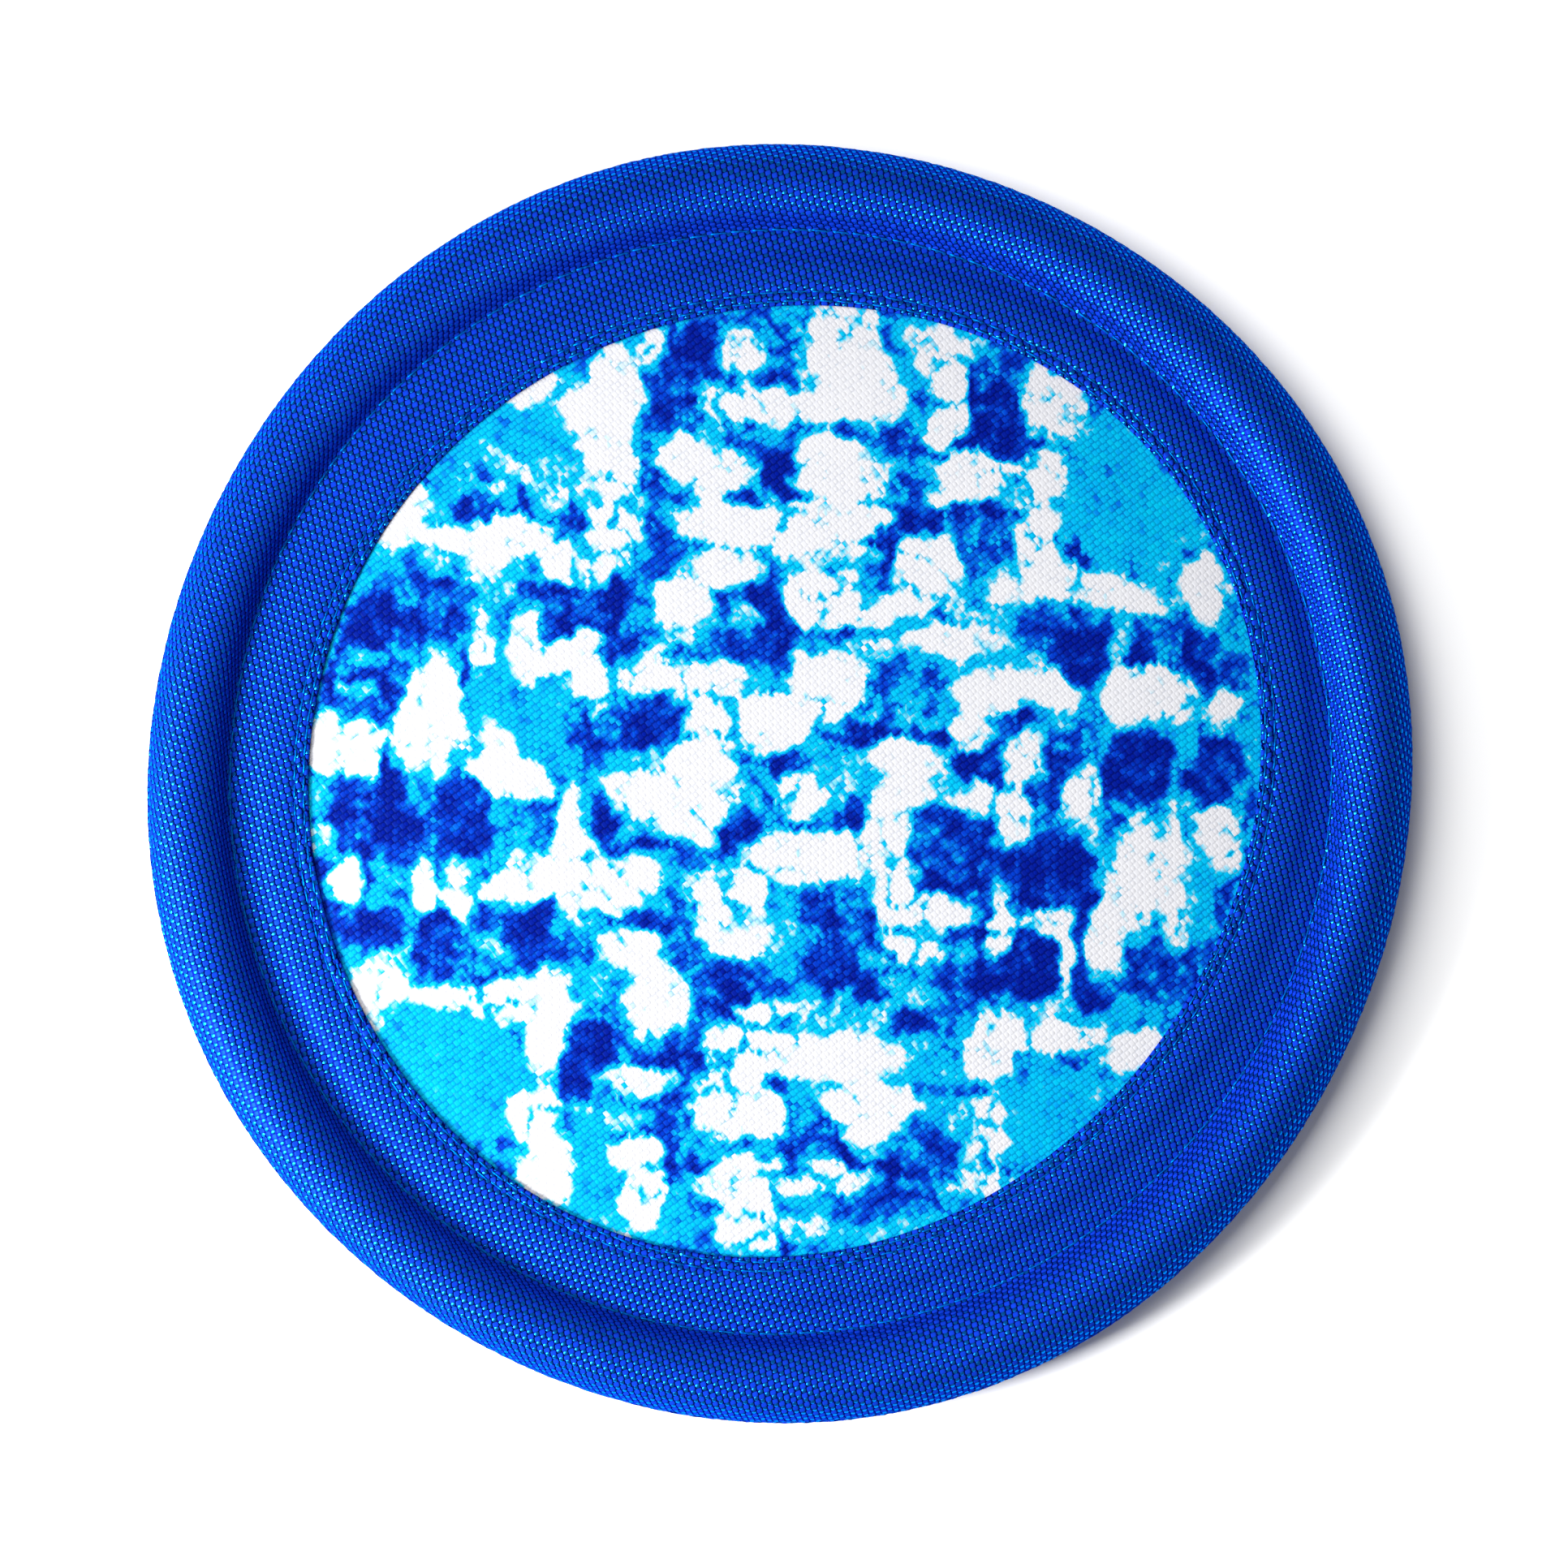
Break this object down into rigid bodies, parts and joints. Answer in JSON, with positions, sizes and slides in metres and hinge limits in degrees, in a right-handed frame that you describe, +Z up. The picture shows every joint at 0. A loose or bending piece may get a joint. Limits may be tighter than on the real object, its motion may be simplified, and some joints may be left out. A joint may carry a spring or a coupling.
{
  "type": "soft flying disc",
  "caption": "Soft cloth flying disc: a printed centre panel sewn into a padded cloth rim over a foam cord, for throwing and catching.",
  "frame": {"origin": "on the surface the disc lies on, under the disc's centre", "axes": "+Z up, out of the printed face; +X and +Y in the disc's plane"},
  "size_m": [0.203, 0.203, 0.0125],
  "materials": {
    "printed_cloth": "plain-woven coarse polyester with a tie-dye print in white, cyan and blue",
    "blue_cloth": "plain-woven coarse royal blue polyester with bright filament glints",
    "foam": "closed-cell polyethylene foam with a fine cellular skin",
    "tape": "matte crepe paper tape",
    "thread": "twisted blue polyester sewing thread"
  },
  "bodies": {
    "root": {"centre_panel": "printed_cloth", "ring_cover_top": "blue_cloth", "ring_cover_bottom": "blue_cloth", "rim_core": "foam", "core_splice_tape": "tape", "outer_seam_thread": "thread", "rim_stitch_top_thread": "thread", "rim_stitch_bottom_thread": "thread", "hem_inner_top_thread": "thread", "hem_inner_bottom_thread": "thread", "hem_outer_top_thread": "thread", "hem_outer_bottom_thread": "thread"}
  },
  "joints": []
}
